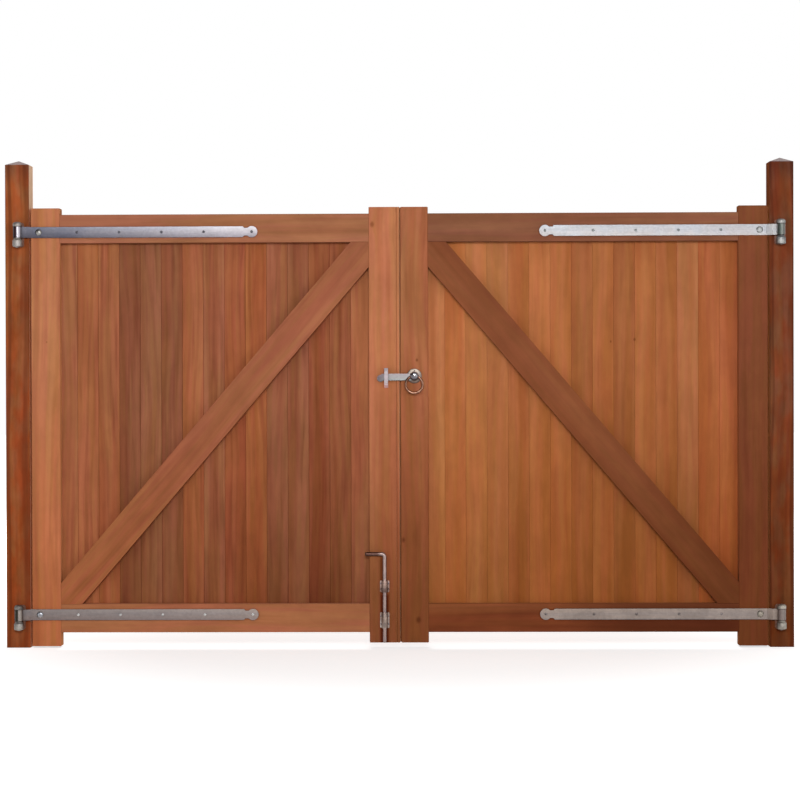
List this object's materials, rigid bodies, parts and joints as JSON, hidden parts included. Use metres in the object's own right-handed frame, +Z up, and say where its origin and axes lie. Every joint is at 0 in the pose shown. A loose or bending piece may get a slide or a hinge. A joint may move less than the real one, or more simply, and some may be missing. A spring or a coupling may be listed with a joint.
{
  "type": "double wooden gate",
  "caption": "Pair of framed, braced and boarded wooden gates between two posts, with strap hinges, a ring latch and a drop bolt.",
  "frame": {"origin": "middle of the left post's foot, at ground level", "axes": "+X across the opening to the right post, +Y through the gate to its boarded front, +Z up; the side with hinges, latch bar and drop bolt faces -Y"},
  "size_m": [3.264, 0.15, 2.025],
  "materials": {
    "left_post_wood": "oiled hardwood",
    "right_post_wood": "oiled hardwood",
    "left_frame_wood": "oiled hardwood",
    "right_frame_wood": "oiled hardwood",
    "left_board_wood": "oiled hardwood, darker boards among them",
    "right_board_wood": "oiled hardwood",
    "galvanised_steel": "galvanised, satin"
  },
  "bodies": {
    "posts": {"left_post": "left_post_wood", "right_post": "right_post_wood", "left_top_hinge_plate": "galvanised_steel", "left_bottom_hinge_plate": "galvanised_steel", "right_top_hinge_plate": "galvanised_steel", "right_bottom_hinge_plate": "galvanised_steel", "left_top_hinge_pin": "galvanised_steel", "left_bottom_hinge_pin": "galvanised_steel", "right_top_hinge_pin": "galvanised_steel", "right_bottom_hinge_pin": "galvanised_steel"},
    "left_leaf": {"left_hinge_stile": "left_frame_wood", "left_meeting_stile": "left_frame_wood", "left_top_rail": "left_frame_wood", "left_bottom_rail": "left_frame_wood", "left_brace": "left_frame_wood", "left_boards": "left_board_wood", "left_top_strap": "galvanised_steel", "left_bottom_strap": "galvanised_steel", "latch_keep": "galvanised_steel", "upper_bolt_staple": "galvanised_steel", "lower_bolt_staple": "galvanised_steel"},
    "right_leaf": {"right_hinge_stile": "right_frame_wood", "right_meeting_stile": "right_frame_wood", "right_top_rail": "right_frame_wood", "right_bottom_rail": "right_frame_wood", "right_brace": "right_frame_wood", "right_boards": "right_board_wood", "right_top_strap": "galvanised_steel", "right_bottom_strap": "galvanised_steel", "inner_rose": "galvanised_steel", "outer_rose": "galvanised_steel"},
    "bolt": {"drop_bolt": "galvanised_steel"},
    "latch": {"latch_bar": "galvanised_steel", "latch_spindle": "galvanised_steel"},
    "near_ring": {"inner_ring": "galvanised_steel"},
    "far_ring": {"outer_ring": "galvanised_steel"}
  },
  "joints": [
    {"name": "left_gate_swing", "type": "hinge", "parent": "posts", "child": "left_leaf", "pos_m": [0.007, -0.08, 0.93], "axis": [0, 0, -1], "range_deg": [0, 110]},
    {"name": "right_gate_swing", "type": "hinge", "parent": "posts", "child": "right_leaf", "pos_m": [3.157, -0.08, 0.93], "axis": [0, 0, 1], "range_deg": [0, 110]},
    {"name": "drop_bolt_slide", "type": "slide", "parent": "left_leaf", "child": "bolt", "axis": [0, 0, -1], "range_m": [0, 0.09]},
    {"name": "latch_turn", "type": "hinge", "parent": "right_leaf", "child": "latch", "pos_m": [1.647, 0, 1.124], "axis": [0, 1, 0], "range_deg": [0, 32]},
    {"name": "inner_ring_swing", "type": "hinge", "parent": "latch", "child": "near_ring", "pos_m": [1.647, -0.079, 1.124], "axis": [-1, 0, 0], "range_deg": [0, 80]},
    {"name": "outer_ring_swing", "type": "hinge", "parent": "latch", "child": "far_ring", "pos_m": [1.647, 0.0265, 1.124], "axis": [1, 0, 0], "range_deg": [0, 80]}
  ]
}
